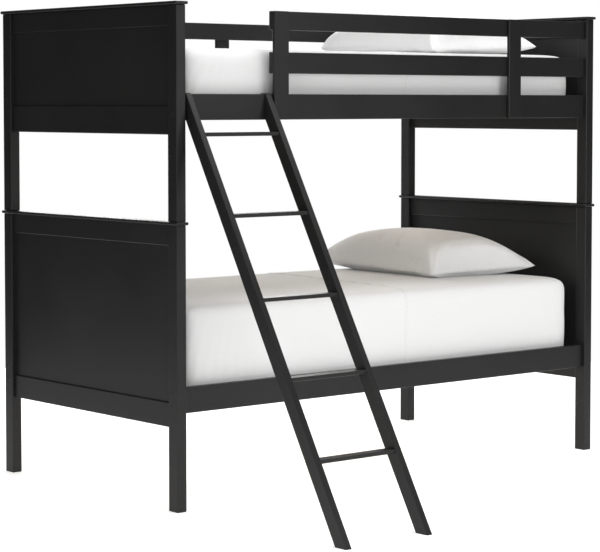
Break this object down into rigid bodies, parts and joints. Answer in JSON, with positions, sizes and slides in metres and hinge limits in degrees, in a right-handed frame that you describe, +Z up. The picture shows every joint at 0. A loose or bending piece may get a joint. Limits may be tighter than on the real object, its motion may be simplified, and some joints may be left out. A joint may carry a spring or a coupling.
{
  "type": "bunk bed with ladder",
  "caption": "Black panelled bunk bed in two stacking halves, with guard rails, a sloping hooked ladder, and a mattress and pillow on each bunk.",
  "frame": {"origin": "middle of the whole footprint, ladder included, on the floor", "axes": "+X along the bed, from the ladder end to the pillow end; +Y across the bed, from the ladder side to the wall side; +Z up"},
  "size_m": [2.044, 1.8668, 1.7174],
  "materials": {
    "black_paint": "satin black paint on solid wood and board",
    "pine_slat": "bare planed pine",
    "zinc_steel": "zinc plated",
    "black_steel": "black powder coat",
    "white_sheet": "smooth white cotton percale fitted sheet",
    "white_pillowcase": "smooth white cotton pillowcase"
  },
  "bodies": {
    "lower_bed": {"lower_post_front_left": "black_paint", "lower_post_front_right": "black_paint", "lower_post_back_left": "black_paint", "lower_post_back_right": "black_paint", "lower_cap_left": "black_paint", "lower_top_rail_left": "black_paint", "lower_panel_left": "black_paint", "lower_bottom_rail_left": "black_paint", "lower_cap_right": "black_paint", "lower_top_rail_right": "black_paint", "lower_panel_right": "black_paint", "lower_bottom_rail_right": "black_paint", "lower_side_rail_front": "black_paint", "lower_side_rail_back": "black_paint", "lower_cleat_front": "black_paint", "lower_cleat_back": "black_paint", "lower_slat_roll": "pine_slat", "dowel_pin_front_left": "zinc_steel", "dowel_pin_front_right": "zinc_steel", "dowel_pin_back_left": "zinc_steel", "dowel_pin_back_right": "zinc_steel"},
    "upper_bed": {"upper_post_front_left": "black_paint", "upper_post_front_right": "black_paint", "upper_post_back_left": "black_paint", "upper_post_back_right": "black_paint", "upper_cap_left": "black_paint", "upper_top_rail_left": "black_paint", "upper_panel_left": "black_paint", "upper_bottom_rail_left": "black_paint", "upper_cap_right": "black_paint", "upper_top_rail_right": "black_paint", "upper_panel_right": "black_paint", "upper_bottom_rail_right": "black_paint", "upper_side_rail_front": "black_paint", "upper_side_rail_back": "black_paint", "upper_cleat_front": "black_paint", "upper_cleat_back": "black_paint", "upper_slat_roll": "pine_slat", "front_guard_top_board": "black_paint", "front_guard_mid_board": "black_paint", "front_guard_left_upright": "black_paint", "front_guard_right_upright": "black_paint", "back_guard_top_board": "black_paint", "back_guard_mid_board": "black_paint", "back_guard_centre_upright": "black_paint"},
    "ladder": {"ladder_stringer_left": "black_paint", "ladder_stringer_right": "black_paint", "ladder_rung_1": "black_paint", "ladder_rung_2": "black_paint", "ladder_rung_3": "black_paint", "ladder_rung_4": "black_paint", "ladder_rung_5": "black_paint", "ladder_hook_left": "black_steel", "ladder_hook_right": "black_steel"},
    "mattress_lower": {"mattress_lower": "white_sheet"},
    "mattress_upper": {"mattress_upper": "white_sheet"},
    "pillow_lower": {"pillow_lower": "white_pillowcase"},
    "pillow_upper": {"pillow_upper": "white_pillowcase"}
  },
  "joints": [
    {"name": "upper_bed_lift", "type": "slide", "parent": "lower_bed", "child": "upper_bed", "axis": [0, 0, 1], "range_m": [0, 0.1]},
    {"name": "ladder_unhook", "type": "slide", "parent": "upper_bed", "child": "ladder", "axis": [0, 0, 1], "range_m": [0, 0.06]},
    {"name": "mattress_lower_lift", "type": "slide", "parent": "lower_bed", "child": "mattress_lower", "axis": [0, 0, 1], "range_m": [0, 0.1]},
    {"name": "mattress_upper_lift", "type": "slide", "parent": "upper_bed", "child": "mattress_upper", "axis": [0, 0, 1], "range_m": [0, 0.36]},
    {"name": "pillow_lower_lift", "type": "slide", "parent": "mattress_lower", "child": "pillow_lower", "axis": [0, 0, 1], "range_m": [0, 0.15]},
    {"name": "pillow_upper_lift", "type": "slide", "parent": "mattress_upper", "child": "pillow_upper", "axis": [0, 0, 1], "range_m": [0, 0.15]}
  ]
}
